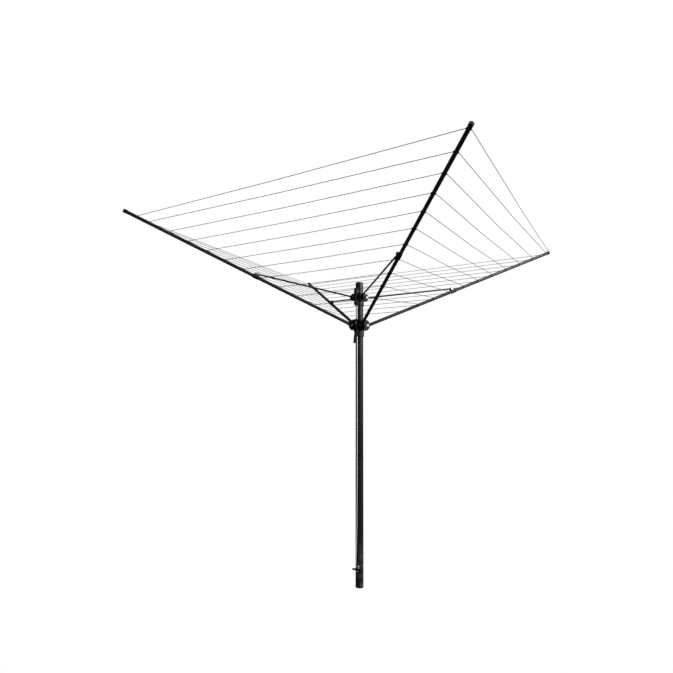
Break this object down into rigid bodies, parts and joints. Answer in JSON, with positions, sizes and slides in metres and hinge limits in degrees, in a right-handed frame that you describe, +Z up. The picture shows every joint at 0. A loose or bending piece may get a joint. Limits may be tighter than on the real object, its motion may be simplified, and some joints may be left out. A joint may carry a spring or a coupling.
{
  "type": "rotary clothesline",
  "caption": "Umbrella rotary clothesline, open: a single mast, sloping arms held by struts from an upper hub, and one line wound in rows between the arms.",
  "frame": {"origin": "centre of the foot's bottom face", "axes": "+Z up along the mast, arms along -Y, +X, +Y and -X"},
  "size_m": [2.7066, 2.7066, 2.0552],
  "materials": {
    "mast_paint": "satin powder coat",
    "arm_paint": "satin powder coat",
    "black_plastic": "fine matt",
    "eyelet_plastic": "matt",
    "grey_plastic": "matt",
    "bright_steel": "zinc plated",
    "line": "PVC coated",
    "cord": "braided"
  },
  "bodies": {
    "foot": {"mast_foot": "black_plastic"},
    "mast": {"cleat": "black_plastic", "cleat_screws": "bright_steel", "hub_cord": "cord", "mast_cap": "black_plastic", "mast_tube": "mast_paint", "pull_cord": "cord", "pull_cord_over_pulley": "cord", "pull_cord_tail_knot": "cord", "pulley_pin": "bright_steel", "strut_top_rivets": "bright_steel", "upper_hub": "black_plastic", "upper_hub_screws": "bright_steel"},
    "pulley_wheel": {"pulley": "black_plastic"},
    "hub": {"arm_root_rivets": "bright_steel", "hub_cord_knot": "cord", "hub_glide_rings": "grey_plastic", "latch_pin": "bright_steel", "latch_spring": "bright_steel", "lower_hub": "black_plastic"},
    "lever": {"latch_lever": "grey_plastic"},
    "strut0": {"strut_0": "arm_paint"},
    "arm0": {"arm_eyelets_0": "eyelet_plastic", "arm_root_0": "black_plastic", "arm_tip_cap_0": "black_plastic", "arm_tube_0": "arm_paint", "bracket_rivet_0": "bright_steel", "line_crossings_0": "line", "line_panel_0": "line", "strut_bracket_0": "black_plastic"},
    "strut1": {"strut_1": "arm_paint"},
    "arm1": {"arm_eyelets_1": "eyelet_plastic", "arm_root_1": "black_plastic", "arm_tip_cap_1": "black_plastic", "arm_tube_1": "arm_paint", "bracket_rivet_1": "bright_steel", "line_crossings_1": "line", "line_panel_1": "line", "line_start_knot": "line", "strut_bracket_1": "black_plastic"},
    "strut2": {"strut_2": "arm_paint"},
    "arm2": {"arm_eyelets_2": "eyelet_plastic", "arm_root_2": "black_plastic", "arm_tip_cap_2": "black_plastic", "arm_tube_2": "arm_paint", "bracket_rivet_2": "bright_steel", "line_crossings_2": "line", "line_panel_2": "line", "strut_bracket_2": "black_plastic"},
    "strut3": {"strut_3": "arm_paint"},
    "arm3": {"arm_eyelets_3": "eyelet_plastic", "arm_root_3": "black_plastic", "arm_tip_cap_3": "black_plastic", "arm_tube_3": "arm_paint", "bracket_rivet_3": "bright_steel", "line_crossings_3": "line", "line_panel_3": "line", "strut_bracket_3": "black_plastic"}
  },
  "joints": [
    {"name": "mast_spin", "type": "hinge", "parent": "foot", "child": "mast", "pos_m": [0, 0, 0], "axis": [0, 0, 1], "continuous": true},
    {"name": "hub_slide", "type": "slide", "parent": "mast", "child": "hub", "axis": [0, 0, 1], "range_m": [-1.02929, 0], "deforming": ["hub_cord", "line_panel_0", "line_panel_1", "line_panel_2", "line_panel_3"]},
    {"name": "pulley_turn", "type": "hinge", "parent": "mast", "child": "pulley_wheel", "pos_m": [-0.02616, -0.02616, 1.68], "axis": [-0.7071, 0.7071, 0], "continuous": true},
    {"name": "lever_press", "type": "hinge", "parent": "hub", "child": "lever", "pos_m": [-0.03111, -0.03111, 1.442], "axis": [0.7071, -0.7071, 0], "range_deg": [0, 8], "stiffness_Nm_per_rad": 0.6, "springref_deg": -14.32},
    {"name": "strut_swing_0", "type": "hinge", "parent": "mast", "child": "strut0", "pos_m": [0, -0.0455, 1.65], "axis": [-1, 0, 0], "range_deg": [-98.6, 0]},
    {"name": "arm_swing_0", "type": "hinge", "parent": "strut0", "child": "arm0", "pos_m": [0, -0.61297, 1.74548], "axis": [-1, 0, 0], "range_deg": [0, 162.75]},
    {"name": "strut_swing_1", "type": "hinge", "parent": "mast", "child": "strut1", "pos_m": [0.0455, 0, 1.65], "axis": [0, -1, 0], "range_deg": [-98.6, 0]},
    {"name": "arm_swing_1", "type": "hinge", "parent": "strut1", "child": "arm1", "pos_m": [0.61297, 0, 1.74548], "axis": [0, -1, 0], "range_deg": [0, 162.75]},
    {"name": "strut_swing_2", "type": "hinge", "parent": "mast", "child": "strut2", "pos_m": [0, 0.0455, 1.65], "axis": [1, 0, 0], "range_deg": [-98.6, 0]},
    {"name": "arm_swing_2", "type": "hinge", "parent": "strut2", "child": "arm2", "pos_m": [0, 0.61297, 1.74548], "axis": [1, 0, 0], "range_deg": [0, 162.75]},
    {"name": "strut_swing_3", "type": "hinge", "parent": "mast", "child": "strut3", "pos_m": [-0.0455, 0, 1.65], "axis": [0, 1, 0], "range_deg": [-98.6, 0]},
    {"name": "arm_swing_3", "type": "hinge", "parent": "strut3", "child": "arm3", "pos_m": [-0.61297, 0, 1.74548], "axis": [0, 1, 0], "range_deg": [0, 162.75]}
  ],
  "couplings": [
    {"joint": "pulley_turn", "follows": "hub_slide", "rad_per_m": -125},
    {"joint": "strut_swing_0", "follows": "hub_slide", "rad_per_m": 1.6711},
    {"joint": "arm_swing_0", "follows": "hub_slide", "rad_per_m": -2.7589},
    {"joint": "strut_swing_1", "follows": "hub_slide", "rad_per_m": 1.6711},
    {"joint": "arm_swing_1", "follows": "hub_slide", "rad_per_m": -2.7589},
    {"joint": "strut_swing_2", "follows": "hub_slide", "rad_per_m": 1.6711},
    {"joint": "arm_swing_2", "follows": "hub_slide", "rad_per_m": -2.7589},
    {"joint": "strut_swing_3", "follows": "hub_slide", "rad_per_m": 1.6711},
    {"joint": "arm_swing_3", "follows": "hub_slide", "rad_per_m": -2.7589}
  ]
}
